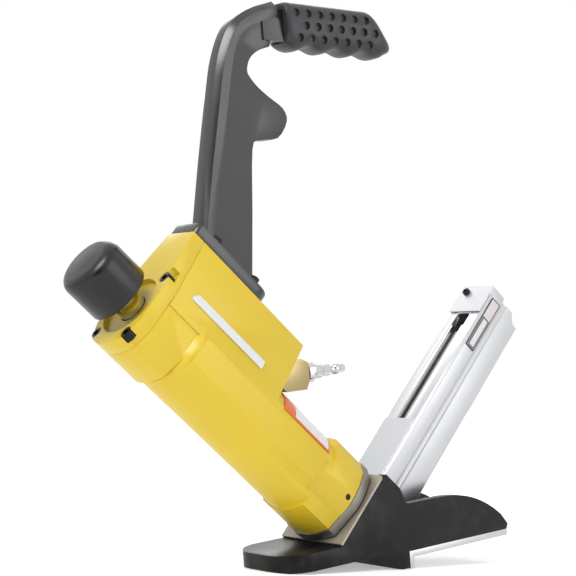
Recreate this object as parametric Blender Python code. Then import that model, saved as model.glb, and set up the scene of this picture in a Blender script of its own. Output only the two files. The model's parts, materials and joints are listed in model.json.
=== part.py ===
"""Flooring nailer: a mallet-struck pneumatic floor stapler, standing on its nose and its toe.

Three nested frames hold the design, each an empty:
  tool     x towards the magazine, z up from the shoe's sole, origin where the staple leaves
  drive    turned 45 degrees from the tool: z climbs the barrel (a height), x runs up the magazine
  stand    the world: the tool leans forward until toe and nose both touch the floor
Sizes are in metres. A gap of GAP separates pieces that rest on each other.
"""

import math

import bmesh
import bpy
from mathutils import Matrix, Vector

# ---------------------------------------------------------------- driving dimensions
GAP = 0.0003                 # between pieces that seat on each other
SLIP = 0.0004                # radial room of a moving piece
DRIVE_ANGLE = math.radians(45)

# shoe, in the tool frame
SHOE_HALF_WIDTH = 0.0385
SIDE_PLATE = 0.0085          # thickness of each side plate
SOLE_Z = 0.0020              # underside of the rear plates
TOE_Z = 0.0034               # underside of the toe
TOE_FRONT_X = -0.1215
TOE_CORNER = 0.0305
TOE_BEARS_X = -0.1135        # the toe touches the floor here, and rises in front of it
TOE_TOP_Z = 0.0173
NOSE_REAR_X = 0.0014
NOSE_DROP = 0.0133           # nose below the sole
NOSE_LENGTH = 0.0085         # flat under the nose
HEEL_X = 0.1130
SHOULDER_Z = 0.0400          # top of the rear plates
SEAT_H = 0.0592              # inclined seat for the barrel, on the drive axis
PLATE_TOP_M = 0.0350         # upper end of the side plates, up the magazine
LEDGE_TOP_M = 0.0290         # the ledges between them stop here
LEDGE_H = 0.0440             # underside of the ledges that carry the nose plate

# sole angle
SOLE_THICKNESS = 0.0050
FENCE_THICKNESS = 0.0046
FENCE_DROP = 0.0142          # fence below the sole

# stack between shoe and barrel, along the drive axis
NOSE_PLATE = 0.0020
NOSE_GASKET = 0.0009
SPACER = 0.0077

# barrel
BARREL_RADIUS = 0.0340
BARREL_LENGTH = 0.2250
FLANGE_LENGTH = 0.0320       # faceted lower end
COLLAR_LENGTH = 0.0330       # faceted upper end
BORE_RADIUS = 0.0256
HEAD_THICKNESS = 0.0120
RECESS_RADIUS = 0.0256
RECESS_DEPTH = 0.0040
SCREW_Y = 0.0205
SCREW_M = (-0.0255, 0.0265)

# air chamber block on the barrel
BLOCK_LENGTH = 0.1210
BLOCK_TOP_M = 0.0715
BLOCK_TOP_HALF = 0.0170
BLOCK_FLARE = 0.22           # half width gained per metre down the block
BLOCK_WALL = 0.0060

# strike ram
CAP_RADIUS = 0.0248
CAP_HEIGHT = 0.0385
CAP_ROUND = 0.0080
RAM_RADIUS = 0.0110
RAM_TRAVEL = 0.0110
RAM_STANDOFF = 0.0120        # cap rim above the head

# piston and driver
SLEEVE_WALL = 0.0025
PISTON_TRAVEL = 0.0560
PISTON_HEIGHT = 0.0130
BUMPER_HEIGHT = 0.0130
BLADE_WIDTH = 0.0124
BLADE_THICKNESS = 0.0016
STAPLE_CROWN = 0.0128
STAPLE_WIRE = 0.0016

# magazine, in the drive frame
MAG_HALF_WIDTH = 0.0200       # of the wide front box
MAG_NECK = 0.0165             # half width where it enters the shoe, and at its top end
MAG_RAIL = 0.0110             # half width of the rail at its back
MAG_WALL = 0.0022             # in front of the staples
BOX_END = 0.0085              # the wide box stops this far below the top end
MAG_FRONT_H = 0.0468
MAG_BACK_H = -0.0020
MAG_START_M = 0.0070
MAG_END_M = 0.2435
SLOT_HALF = 0.0055
SLOT_START_M = 0.0940
SLOT_END_M = 0.2010
KEYHOLE_HALF = 0.0074
KEYHOLE_END_M = 0.2135
PUSHER_TRAVEL = 0.1050
STRIP_LENGTH = 0.0460
COVER_THICKNESS = 0.0012
COVER_START_M = 0.0365
COVER_END_M = 0.0985
CAP_START_M = 0.2145

# handle, in the tool frame
HANDLE_PLATE = 0.0085
HANDLE_PLATE_LENGTH = 0.0860
WEB_HALF = 0.0068
RIM_HALF = 0.0095
RIM_DEPTH = 0.0125
RIM_CHAMFER = 0.0045
GRIP_START_X = -0.0620
GRIP_LENGTH = 0.0890          # along its top
GRIP_FLARE = 0.0195          # its lower edge reaches this much further
GRIP_HALF_WIDTH = 0.0158
GRIP_TOP_Z = 0.4452
GRIP_BOTTOM_Z = 0.4068
GRIP_SLOPE = -0.066
SCALLOP_PITCH = 0.0275
SCALLOP_DEPTH = 0.0036
DIMPLE_RADIUS = 0.0034
DIMPLE_PITCH = 0.0119
DIMPLE_DEPTH = 0.0030

# air inlet
INLET_M = 0.03925             # where the inlet's axis meets the block's lower end, up the magazine
BRASS_TALL = 0.0246
BRASS_WIDE = 0.0206
BRASS_REACH = 0.0315          # from the block to the washer
WASHER = 0.0022
PLUG_HEX_FLATS = 0.0143

# ---------------------------------------------------------------- derived heights on the drive axis
PLATE_H = SEAT_H + GAP
GASKET_H = PLATE_H + NOSE_PLATE + GAP
SPACER_H = GASKET_H + NOSE_GASKET + GAP
BODY_H = SPACER_H + SPACER + GAP
BODY_TOP_H = BODY_H + BARREL_LENGTH
HEAD_H = BODY_TOP_H + GAP
HEAD_TOP_H = HEAD_H + HEAD_THICKNESS
RIM_H = HEAD_TOP_H + RAM_STANDOFF
CAP_TOP_H = RIM_H + CAP_HEIGHT
BLOCK_H = BODY_TOP_H - BLOCK_LENGTH

SIN = math.sin(DRIVE_ANGLE)
COS = math.cos(DRIVE_ANGLE)
AIR_AXIS_Z = (BLOCK_H + INLET_M) * SIN


def tool_xz(height, m):
    """The tool frame's (x, z) of a point given by its height on the barrel and its distance m up the magazine."""
    return m * COS - height * SIN, m * SIN + height * COS


def drive_hm(x, z):
    """The height and the distance m of a point of the tool frame."""
    return z * COS - x * SIN, x * COS + z * SIN


# ---------------------------------------------------------------- helpers
def clear_scene():
    for obj in list(bpy.data.objects):
        bpy.data.objects.remove(obj, do_unlink=True)


def empty(name, parent=None):
    obj = bpy.data.objects.new(name, None)
    bpy.context.scene.collection.objects.link(obj)
    obj.parent = parent
    return obj


def material(name, color, roughness, metallic=0.0):
    mat = bpy.data.materials.new(name)
    mat.use_nodes = True
    shader = mat.node_tree.nodes["Principled BSDF"]
    shader.inputs["Base Color"].default_value = (*color, 1.0)
    shader.inputs["Roughness"].default_value = roughness
    shader.inputs["Metallic"].default_value = metallic
    mat.diffuse_color = (*color, 1.0)
    return mat


def piece(name, mesh, parent, mat, location=(0, 0, 0), smooth=35):
    """A named object from a bmesh, which is freed. Edges under the smooth angle (degrees) are shaded smooth."""
    data = bpy.data.meshes.new(name)
    bmesh.ops.recalc_face_normals(mesh, faces=mesh.faces)
    mesh.to_mesh(data)
    mesh.free()
    obj = bpy.data.objects.new(name, data)
    bpy.context.scene.collection.objects.link(obj)
    obj.parent = parent
    obj.location = location
    data.materials.append(mat)
    if smooth:
        data.shade_smooth()
        data.set_sharp_from_angle(angle=math.radians(smooth))
    return obj


def boolean(obj, mesh, operation, name, location, parent):
    """Shapes obj by a hidden mesh, which lies in the frame of parent, or in that of obj."""
    tool = piece(obj.name + "_" + name, mesh, parent or obj.parent, obj.data.materials[0], location, smooth=None)
    tool.hide_render = True
    tool.display_type = "WIRE"
    modifier = obj.modifiers.new(name, "BOOLEAN")
    modifier.operation = operation
    modifier.solver = "EXACT"
    modifier.object = tool


def cut(obj, mesh, name, location=(0, 0, 0), parent=None):
    boolean(obj, mesh, "DIFFERENCE", name, location, parent)


def join(obj, mesh, name, location=(0, 0, 0), parent=None):
    boolean(obj, mesh, "UNION", name, location, parent)


def rounded(corners, steps=6):
    """A closed outline through (a, b, radius) corners, each with its radius as an arc."""
    outline = []
    for index, (a, b, radius) in enumerate(corners):
        corner = Vector((a, b))
        if radius == 0:
            outline.append(tuple(corner))
            continue
        back = (Vector(corners[index - 1][:2]) - corner).normalized()
        ahead = (Vector(corners[(index + 1) % len(corners)][:2]) - corner).normalized()
        half = back.angle(ahead) / 2
        reach = radius / math.tan(half)
        centre = corner + (back + ahead).normalized() * (radius / math.sin(half))
        start = corner + back * reach - centre
        end = corner + ahead * reach - centre
        first = math.atan2(start.y, start.x)
        turn = math.atan2(end.y, end.x) - first
        turn = (turn + math.pi) % (2 * math.pi) - math.pi
        for step in range(steps + 1):
            angle = first + turn * step / steps
            outline.append((centre.x + radius * math.cos(angle), centre.y + radius * math.sin(angle)))
    return outline


def mirrored(half):
    """A closed outline from its half at positive a, given from its low b to its high b."""
    return half + [(-a, b) for a, b in reversed(half) if a > 0]


def prism(outline, along, low, high):
    """An outline pushed from low to high. Along x it is given as (y, z), along y as (x, z), along z as (x, y)."""
    place = {
        "x": lambda a, b, c: (c, a, b),
        "y": lambda a, b, c: (a, c, b),
        "z": lambda a, b, c: (a, b, c),
    }[along]
    mesh = bmesh.new()
    face = mesh.faces.new([mesh.verts.new(place(a, b, low)) for a, b in outline])
    grown = bmesh.ops.extrude_face_region(mesh, geom=[face])
    moved = [item for item in grown["geom"] if isinstance(item, bmesh.types.BMVert)]
    bmesh.ops.translate(mesh, verts=moved, vec=place(0, 0, high - low))
    bmesh.ops.recalc_face_normals(mesh, faces=mesh.faces)
    return mesh


def box(x, y, z):
    """A box from three (low, high) pairs."""
    return prism([(x[0], y[0]), (x[1], y[0]), (x[1], y[1]), (x[0], y[1])], "z", z[0], z[1])


def turned(profile, segments=48):
    """A closed (radius, z) profile turned about z."""
    mesh = bmesh.new()
    ring = [mesh.verts.new((radius, 0, z)) for radius, z in profile]
    edges = []
    for one, two in zip(ring, ring[1:] + ring[:1]):
        if one.co.x > 0 or two.co.x > 0:
            edges.append(mesh.edges.new((one, two)))
    bmesh.ops.spin(mesh, geom=ring + edges, cent=(0, 0, 0), axis=(0, 0, 1),
                   angle=2 * math.pi, steps=segments)
    bmesh.ops.remove_doubles(mesh, verts=mesh.verts, dist=1e-6)
    bmesh.ops.recalc_face_normals(mesh, faces=mesh.faces)
    return mesh


def tube(inner, outer, low, high, segments=48):
    return turned([(inner, low), (outer, low), (outer, high), (inner, high)], segments)


def rod(radius, low, high, segments=32):
    return turned([(0, low), (radius, low), (radius, high), (0, high)], segments)


def loft(rings):
    """A closed skin over rings of points with equal counts."""
    mesh = bmesh.new()
    rows = [[mesh.verts.new(point) for point in ring] for ring in rings]
    count = len(rows[0])
    for below, above in zip(rows, rows[1:]):
        for index in range(count):
            after = (index + 1) % count
            mesh.faces.new((below[index], below[after], above[after], above[index]))
    mesh.faces.new(rows[0])
    mesh.faces.new(rows[-1])
    bmesh.ops.recalc_face_normals(mesh, faces=mesh.faces)
    return mesh


def coil(radius, wire, low, high, turns, per_turn=16, sides=6):
    """A round wire wound about z, with flat ends."""
    rings = []
    rise = high - low - 2 * wire
    for step in range(turns * per_turn + 1):
        share = step / (turns * per_turn)
        angle = 2 * math.pi * turns * share
        outward = Vector((math.cos(angle), math.sin(angle), 0))
        centre = outward * radius + Vector((0, 0, low + wire + rise * share))
        ring = []
        for side in range(sides):
            around = 2 * math.pi * side / sides
            ring.append(centre + outward * wire * math.cos(around) + Vector((0, 0, wire * math.sin(around))))
        rings.append(ring)
    return loft(rings)


def hexagon(flats):
    """A hexagon outline by its width across flats, with a corner at the top."""
    reach = flats / math.sqrt(3)
    return [(reach * math.sin(math.radians(60 * k)), reach * math.cos(math.radians(60 * k))) for k in range(6)]


def aim(mesh, direction):
    """Turns a mesh made along z so that it runs along direction."""
    rotation = Vector((0, 0, 1)).rotation_difference(Vector(direction)).to_matrix()
    bmesh.ops.rotate(mesh, verts=mesh.verts, cent=(0, 0, 0), matrix=rotation)
    return mesh


def through(points, steps):
    """An open smooth path through the points (a Catmull-Rom spline)."""
    ends = [Vector(points[0]) * 2 - Vector(points[1])] + [Vector(p) for p in points]
    ends.append(ends[-1] * 2 - ends[-2])
    path = []
    for index in range(1, len(ends) - 2):
        a, b, c, d = ends[index - 1:index + 3]
        for step in range(steps):
            t = step / steps
            path.append(0.5 * (2 * b + (c - a) * t + (2 * a - 5 * b + 4 * c - d) * t * t
                               + (3 * b - a - 3 * c + d) * t ** 3))
    path.append(ends[-2])
    return path


def cap_screw(name, mat, location, direction=(0, 0, 1), radius=0.0040, head=0.0042, shank=0.0120,
              shank_radius=0.0022):
    """A socket head screw in the drive frame, its head standing on location and facing direction."""
    socket = radius * 0.55
    profile = [
        (0, -shank), (shank_radius, -shank), (shank_radius, 0), (radius, 0),
        (radius, head * 0.85), (radius * 0.88, head), (socket, head), (socket, head * 0.5), (0, head * 0.5),
    ]
    return piece(name, aim(turned(profile, 20), direction), DRIVE, mat, location)


# ---------------------------------------------------------------- materials
clear_scene()
YELLOW = material("yellow_paint", (0.86, 0.66, 0.06), 0.38)
BLACK_CAST = material("black_casting", (0.055, 0.06, 0.068), 0.42)
BLACK_RUBBER = material("black_rubber", (0.05, 0.053, 0.058), 0.62)
BLACK_SHOE = material("black_shoe", (0.022, 0.023, 0.025), 0.36)
BLACK_OXIDE = material("black_oxide", (0.03, 0.03, 0.032), 0.4, 0.6)
STEEL = material("steel", (0.56, 0.55, 0.52), 0.38, 1.0)
DULL_STEEL = material("dull_steel", (0.36, 0.34, 0.31), 0.5, 1.0)
CHROME = material("chrome", (0.78, 0.78, 0.79), 0.14, 1.0)
ALUMINIUM = material("aluminium", (0.84, 0.85, 0.87), 0.34, 0.9)
BRASS = material("brass", (0.74, 0.6, 0.3), 0.3, 1.0)
RED_FIBRE = material("red_fibre", (0.42, 0.1, 0.05), 0.6)
WHITE_PLATE = material("white_plate", (0.86, 0.87, 0.88), 0.4)
LABEL = material("label_film", (0.9, 0.9, 0.88), 0.45)

STAND = empty("stand")
TOOL = empty("tool", STAND)
DRIVE = empty("drive", TOOL)
DRIVE.rotation_euler = (0, -DRIVE_ANGLE, 0)


# ---------------------------------------------------------------- drive channel, shared by all it passes
CHANNEL_DEEP = BLADE_THICKNESS / 2 + SLIP
STAPLE_HALF = STAPLE_CROWN / 2 + SLIP


def channel_cut(obj, low, high, deep=CHANNEL_DEEP):
    """The slot across a piece that the blade and the staple run down."""
    cut(obj, box((-deep, deep), (-STAPLE_HALF, STAPLE_HALF), (low, high)), "channel", parent=DRIVE)


# ---------------------------------------------------------------- shoe
def seat_x(height, z):
    """The tool frame's x of the point at this barrel height and tool z."""
    return (z * COS - height) / SIN


def side_outline():
    peak_x, peak_z = tool_xz(SEAT_H, PLATE_TOP_M)
    back_x, back_z = tool_xz(SEAT_H - 0.0190, PLATE_TOP_M)
    nose_z = SOLE_Z - NOSE_DROP
    heel_z = SOLE_Z + 0.0065
    corners = [
        (TOE_FRONT_X, TOE_Z + 0.0016, 0.0005),
        (TOE_BEARS_X, TOE_Z, 0),
        (NOSE_REAR_X - 0.0300, TOE_Z, 0.0020),
        (NOSE_REAR_X - NOSE_LENGTH - 0.0055, nose_z + 0.0014, 0.0015),
        (NOSE_REAR_X - NOSE_LENGTH, nose_z, 0),
        (NOSE_REAR_X, nose_z, 0),
        (NOSE_REAR_X, SOLE_Z, 0),
        (HEEL_X - 0.0020, SOLE_Z, 0.0010),
        (HEEL_X, heel_z - 0.0025, 0.0018),
    ]
    hump_start = NOSE_REAR_X + 0.0310
    for step in range(1, 11):
        share = 1 - step / 11
        z = heel_z + (SHOULDER_Z - heel_z) * (1 - share ** 2.6)
        corners.append((hump_start + (HEEL_X - hump_start) * share, z, 0))
    corners += [
        (hump_start, SHOULDER_Z, 0),
        (back_x + 0.0050, SHOULDER_Z, 0.0045),
        (back_x + 0.0018, back_z - 0.0040, 0.0020),
        (back_x, back_z, 0),
        (peak_x, peak_z, 0.0008),
        (seat_x(SEAT_H, TOE_TOP_Z), TOE_TOP_Z, 0.0010),
        (TOE_FRONT_X, TOE_TOP_Z, 0.0016),
    ]
    return rounded(corners, 3)


def make_shoe():
    inner = SHOE_HALF_WIDTH - SIDE_PLATE
    edge = SHOE_HALF_WIDTH
    made = piece("shoe", prism(side_outline(), "y", -edge, edge), TOOL, BLACK_SHOE, smooth=30)
    plan = rounded([(HEEL_X + 0.01, -edge - 0.001, 0), (HEEL_X + 0.01, edge + 0.001, 0),
                    (-0.0800, edge + 0.001, 0), (TOE_FRONT_X + 0.0003, edge, TOE_CORNER),
                    (TOE_FRONT_X + 0.0003, -edge, TOE_CORNER), (-0.0800, -edge - 0.001, 0)], 10)
    boolean(made, prism(plan, "z", -0.05, 0.2), "INTERSECT", "plan", (0, 0, 0), None)
    # room for the magazine between two ledges, and a wider one below them
    start = MAG_START_M - GAP
    narrow = MAG_NECK + COVER_THICKNESS + 0.0010
    cut(made, box((start, 0.2), (-narrow, narrow), (-0.3, 0.2)), "room", parent=DRIVE)
    cut(made, box((start, 0.2), (-inner, inner), (-0.3, LEDGE_H)), "wide_room", parent=DRIVE)
    cut(made, box((LEDGE_TOP_M, 0.2), (-inner, inner), (-0.3, 0.2)), "above_ledges", parent=DRIVE)
    # hollow under the toe
    hollow = rounded([(NOSE_REAR_X - 0.0310, TOE_Z - 0.02, 0), (NOSE_REAR_X - 0.0320, TOE_Z + 0.0060, 0.003),
                      (-0.0800, TOE_Z + 0.0060, 0.003), (-0.0820, TOE_Z - 0.02, 0)], 3)
    cut(made, prism(hollow, "y", -inner, inner), "hollow")
    channel_cut(made, -0.030, SEAT_H + 0.01)
    window = box((0, start + 0.002), (-STAPLE_HALF, STAPLE_HALF), (MAG_BACK_H + 0.0024, MAG_FRONT_H - MAG_WALL))
    cut(made, window, "window", parent=DRIVE)
    return made


shoe = make_shoe()


# ---------------------------------------------------------------- sole angle and its screws
def make_sole():
    top = SOLE_Z - GAP
    low = top - SOLE_THICKNESS
    left = NOSE_REAR_X + GAP
    outline = [
        (left, top), (left, SOLE_Z - FENCE_DROP), (left + FENCE_THICKNESS, SOLE_Z - FENCE_DROP),
        (left + FENCE_THICKNESS, low), (HEEL_X - 0.001, low), (HEEL_X - 0.001, top),
    ]
    half = SHOE_HALF_WIDTH - 0.0008
    made = piece("sole_angle", prism(outline, "y", -half, half), TOOL, ALUMINIUM)
    channel_cut(made, -0.030, 0.030)
    number = 0
    for x in (left + 0.0400, left + 0.0900):
        for y in (-SHOE_HALF_WIDTH + 0.0048, SHOE_HALF_WIDTH - 0.0048):
            number += 1
            place = (x, y, low)
            screw = [(0, 0.0006), (0.0031, 0.0006), (0.0019, 0.0027), (0.0019, 0.0130), (0, 0.0130)]
            piece("sole_screw_%d" % number, turned(screw, 16), TOOL, BLACK_OXIDE, place)
            hole = [(0, -0.001), (0.0036, -0.001), (0.0034, 0.0006), (0.0022, 0.0029), (0.0022, 0.0080), (0, 0.0080)]
            cut(made, turned(hole, 16), "hole_%d" % number, place)
            thread = [(0, 0.001), (0.0022, 0.001), (0.0022, 0.0133), (0, 0.0133)]
            cut(shoe, turned(thread, 16), "thread_%d" % number, place)
    return made


make_sole()


# ---------------------------------------------------------------- outlines across the barrel, as (m, y)
def both_sides(half):
    return half + [(m, -y) for m, y in reversed(half)]


def flange_outline(grow=0.0):
    scale = BARREL_RADIUS + grow
    half = [(-1.015, 0.176), (-0.959, 0.412), (-0.815, 0.782), (-0.456, 0.882), (-0.109, 0.991), (0.156, 1.0),
            (0.412, 0.947), (0.768, 0.829), (1.029, 0.529), (1.059, 0.265)]
    return both_sides([(m * scale, y * scale) for m, y in half])


def block_half(m):
    return BLOCK_TOP_HALF + (BLOCK_TOP_M - m) * BLOCK_FLARE


def block_outline(inset=0.0, low=0.010):
    top = BLOCK_TOP_M - inset
    return [(low, -block_half(low) + inset), (top, inset - BLOCK_TOP_HALF),
            (top, BLOCK_TOP_HALF - inset), (low, block_half(low) - inset)]


def head_outline():
    side = block_half(0.0180)
    half = [(-0.0365, 0.0040), (-0.0355, 0.0100), (-0.0310, 0.0210), (-0.0150, side), (0.0180, side),
            (BLOCK_TOP_M, BLOCK_TOP_HALF)]
    return both_sides(half)


# ---------------------------------------------------------------- nose plate, gasket and spacer
def make_nose_plate():
    lower_m = drive_hm(seat_x(PLATE_H, TOE_TOP_Z + GAP), TOE_TOP_Z + GAP)[1] + 0.0004
    half = SHOE_HALF_WIDTH - 0.0003
    outline = rounded([(lower_m, -half, 0), (PLATE_TOP_M - 0.0030, -half, 0.0025),
                       (PLATE_TOP_M - 0.0030, half, 0.0025), (lower_m, half, 0)], 3)
    made = piece("nose_plate", prism(outline, "z", PLATE_H, PLATE_H + NOSE_PLATE), DRIVE, DULL_STEEL)
    channel_cut(made, PLATE_H - 0.01, PLATE_H + 0.02)
    return made


def make_ring(name, grow, low, height, mat):
    made = piece(name, prism(flange_outline(grow), "z", low, low + height), DRIVE, mat)
    channel_cut(made, low - 0.01, low + 0.02)
    return made


nose_plate = make_nose_plate()
nose_gasket = make_ring("nose_gasket", -0.0012, GASKET_H, NOSE_GASKET, BLACK_RUBBER)
nose_spacer = make_ring("nose_spacer", 0.0006, SPACER_H, SPACER, STEEL)


# ---------------------------------------------------------------- main body
FLOOR_H = BODY_H + 0.0055


def make_main_body():
    low, high = BODY_H, BODY_TOP_H
    step = high - COLLAR_LENGTH
    r = BARREL_RADIUS
    barrel = [(0, low), (r, low), (r, step - 0.0030), (r - 0.0040, step + 0.0010), (0, step + 0.0010)]
    made = piece("main_body", turned(barrel, 64), DRIVE, YELLOW, smooth=25)
    join(made, prism(flange_outline(), "z", low, low + FLANGE_LENGTH), "flange")
    join(made, prism(head_outline(), "z", step, high), "collar")
    join(made, prism(block_outline(), "z", BLOCK_H, high), "block")
    flat = r + 0.0007
    pads = both_sides([(-r * 0.67, r * 0.724), (-0.0110, flat), (0.0105, flat)])
    join(made, prism(pads, "z", low + 0.0420, step - 0.0060), "pads")
    bore = [(0, FLOOR_H), (BORE_RADIUS, FLOOR_H), (BORE_RADIUS, high + 0.01), (0, high + 0.01)]
    cut(made, turned(bore, 48), "bore")
    chamber = prism(block_outline(BLOCK_WALL, 0.0160), "z", BLOCK_H + BLOCK_WALL, high - 0.0180)
    cut(made, chamber, "chamber")
    channel_cut(made, low - 0.01, low + 0.02)
    return made


body = make_main_body()

# long bolts through the joint at the nose: two reach the solid nose, two the ledges
for index, (m, y) in enumerate([(a * 0.72 * BARREL_RADIUS, b * 0.69 * BARREL_RADIUS) for a in (-1, 1) for b in (-1, 1)], 1):
    low, high = PLATE_H - 0.0120, BODY_H + 0.0120
    piece("nose_bolt_%d" % index, rod(0.0025, low, high, 12), DRIVE, BLACK_OXIDE, (m, y, 0))
    for target in (shoe, nose_plate, nose_gasket, nose_spacer, body):
        cut(target, rod(0.0025 + GAP, low - GAP, high + GAP, 12), "bolt_%d" % index, (m, y, 0), DRIVE)

# a plain pin in a blind hole on each side of the flange
for side, name in ((-1, "near"), (1, "far")):
    place = (0, side * (BARREL_RADIUS - 0.0070), BODY_H + 0.0050)
    pin = aim(rod(0.0023, 0.0003, 0.0068, 16), (0, side, 0))
    piece("flange_pin_" + name, pin, DRIVE, BLACK_OXIDE, place)
    cut(body, aim(rod(0.0023 + GAP, 0, 0.02, 16), (0, side, 0)), "pin_" + name, place)

# ---------------------------------------------------------------- head cover, seal and screws
BUSH_WALL = 0.0035
BUSH_RADIUS = RAM_RADIUS + SLIP + BUSH_WALL
RECESS_H = HEAD_TOP_H - RECESS_DEPTH
LIP = 0.0012                 # of the head cover, over the bush


def make_head():
    low, high = HEAD_H, HEAD_TOP_H
    made = piece("head_cover", prism(head_outline(), "z", low, high), DRIVE, YELLOW, smooth=25)
    hole = BUSH_RADIUS + GAP
    lip = RAM_RADIUS + 2 * SLIP
    recess = [(0, low - 0.01), (hole, low - 0.01), (hole, RECESS_H - LIP), (lip, RECESS_H - LIP), (lip, RECESS_H),
              (RECESS_RADIUS, RECESS_H), (RECESS_RADIUS, high + 0.01), (0, high + 0.01)]
    cut(made, turned(recess, 48), "recess")
    seat = low + 0.0050
    number = 0
    for m in SCREW_M:
        for y in (-SCREW_Y, SCREW_Y):
            number += 1
            place = (m, y, seat)
            cap_screw("head_screw_%d" % number, BLACK_OXIDE, (m, y, seat + GAP), head=0.0066, radius=0.0044,
                      shank=0.0170, shank_radius=0.0018)
            cut(made, rod(0.0050, 0, 0.03, 20), "pocket_%d" % number, place)
            notch = (m * 1.16, y * 1.24, seat)
            cut(made, rod(0.0050, 0, 0.03, 20), "notch_%d" % number, notch)
            cut(made, rod(0.0018 + GAP, -0.03, 0.01, 16), "hole_%d" % number, place)
            cut(body, rod(0.0018 + GAP, -0.0170, 0.01, 16), "thread_%d" % number, place)
    return made


make_head()
SEAL_LOW = BODY_TOP_H - 0.0030
piece("head_seal", tube(BORE_RADIUS - 0.0032, BORE_RADIUS - GAP, SEAL_LOW, BODY_TOP_H, 40), DRIVE, BLACK_RUBBER)
piece("ram_bush", tube(RAM_RADIUS + SLIP, BUSH_RADIUS, HEAD_H + GAP, RECESS_H - LIP - GAP, 32), DRIVE, BRASS)

# ---------------------------------------------------------------- firing valve, sleeve, piston, driver
SLEEVE_H = FLOOR_H + GAP
SLEEVE_RADIUS = BORE_RADIUS - GAP
SLEEVE_BORE = SLEEVE_RADIUS - SLEEVE_WALL
BUMPER_TOP_H = SLEEVE_H + BUMPER_HEIGHT
PISTON_H = BUMPER_TOP_H + 0.0015 + PISTON_TRAVEL
SLEEVE_TOP_H = PISTON_H + PISTON_HEIGHT + 0.0040
VALVE_H = SLEEVE_TOP_H + GAP
VALVE_TOP_H = BODY_TOP_H - 0.0480
VALVE_BORE = 0.0082
STEM_RADIUS = 0.0042
RAM = empty("ram_slide", DRIVE)
PISTON = empty("piston_slide", DRIVE)


def make_ram():
    pocket = CAP_TOP_H - 0.0140
    cap = [(RAM_RADIUS + GAP, RIM_H), (CAP_RADIUS - 0.001, RIM_H), (CAP_RADIUS, RIM_H + 0.001)]
    for step in range(6):
        angle = math.radians(90 * step / 5)
        cap.append((CAP_RADIUS - CAP_ROUND * (1 - math.cos(angle)), CAP_TOP_H - CAP_ROUND * (1 - math.sin(angle))))
    cap += [(0, CAP_TOP_H), (0, pocket), (RAM_RADIUS + GAP, pocket)]
    piece("strike_cap", turned(cap, 48), RAM, BLACK_RUBBER)
    collar_top = BODY_TOP_H - GAP
    collar_low = collar_top - 0.0050
    stem_end = VALVE_TOP_H - 0.0500
    stem = [
        (0, stem_end), (STEM_RADIUS, stem_end), (STEM_RADIUS, collar_low), (0.0170, collar_low),
        (0.0170, collar_top), (RAM_RADIUS, collar_top), (RAM_RADIUS, pocket - GAP), (0, pocket - GAP),
    ]
    piece("ram", turned(stem, 32), RAM, CHROME)
    valve_low = VALVE_TOP_H - 0.0380
    piece("firing_valve", tube(STEM_RADIUS + GAP, VALVE_BORE - SLIP, valve_low, valve_low + 0.0180, 32), RAM, BRASS)
    spring = coil(0.0135, 0.0012, VALVE_TOP_H + GAP, collar_low - GAP, 5)
    piece("ram_spring", spring, DRIVE, STEEL)


make_ram()
piece("valve_housing", turned([
    (VALVE_BORE, VALVE_H), (SLEEVE_RADIUS, VALVE_H), (SLEEVE_RADIUS, VALVE_H + 0.0120), (0.0180, VALVE_H + 0.0180),
    (0.0180, VALVE_TOP_H - 0.0100), (SLEEVE_RADIUS, VALVE_TOP_H - 0.0060), (SLEEVE_RADIUS, VALVE_TOP_H),
    (VALVE_BORE, VALVE_TOP_H),
], 40), DRIVE, ALUMINIUM)
piece("cylinder_sleeve", tube(SLEEVE_BORE, SLEEVE_RADIUS, SLEEVE_H, SLEEVE_TOP_H), DRIVE, STEEL)
piece("bumper", tube(STAPLE_HALF + 0.0010, SLEEVE_BORE - GAP, SLEEVE_H, BUMPER_TOP_H, 32), DRIVE, BLACK_RUBBER)


def make_piston():
    ring_low = PISTON_H + 0.0050
    ring_high = ring_low + 0.0036
    top = PISTON_H + PISTON_HEIGHT
    skirt = SLEEVE_BORE - SLIP
    groove = SLEEVE_BORE - 0.0034
    made = piece("piston", turned([
        (0, PISTON_H), (skirt, PISTON_H), (skirt, ring_low), (groove, ring_low), (groove, ring_high),
        (skirt, ring_high), (skirt, top), (0, top),
    ], 40), PISTON, ALUMINIUM)
    ring = tube(groove + GAP, SLEEVE_BORE - SLIP / 2, ring_low + GAP, ring_high - GAP, 40)
    piece("piston_ring", ring, PISTON, BLACK_RUBBER)
    blade_top = PISTON_H + 0.0080
    t, w = BLADE_THICKNESS / 2, BLADE_WIDTH / 2
    tip = MAG_FRONT_H + 0.0022
    piece("driver_blade", box((-t, t), (-w, w), (tip, blade_top)), PISTON, STEEL)
    slot = box((-t - GAP, t + GAP), (-w - GAP, w + GAP), (PISTON_H - 0.01, blade_top + GAP))
    cut(made, slot, "blade_slot")


make_piston()


# ---------------------------------------------------------------- air inlet: brass elbow, washer, plug
def along_x(profile, segments=24):
    return aim(turned(profile, segments), (1, 0, 0))


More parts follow.
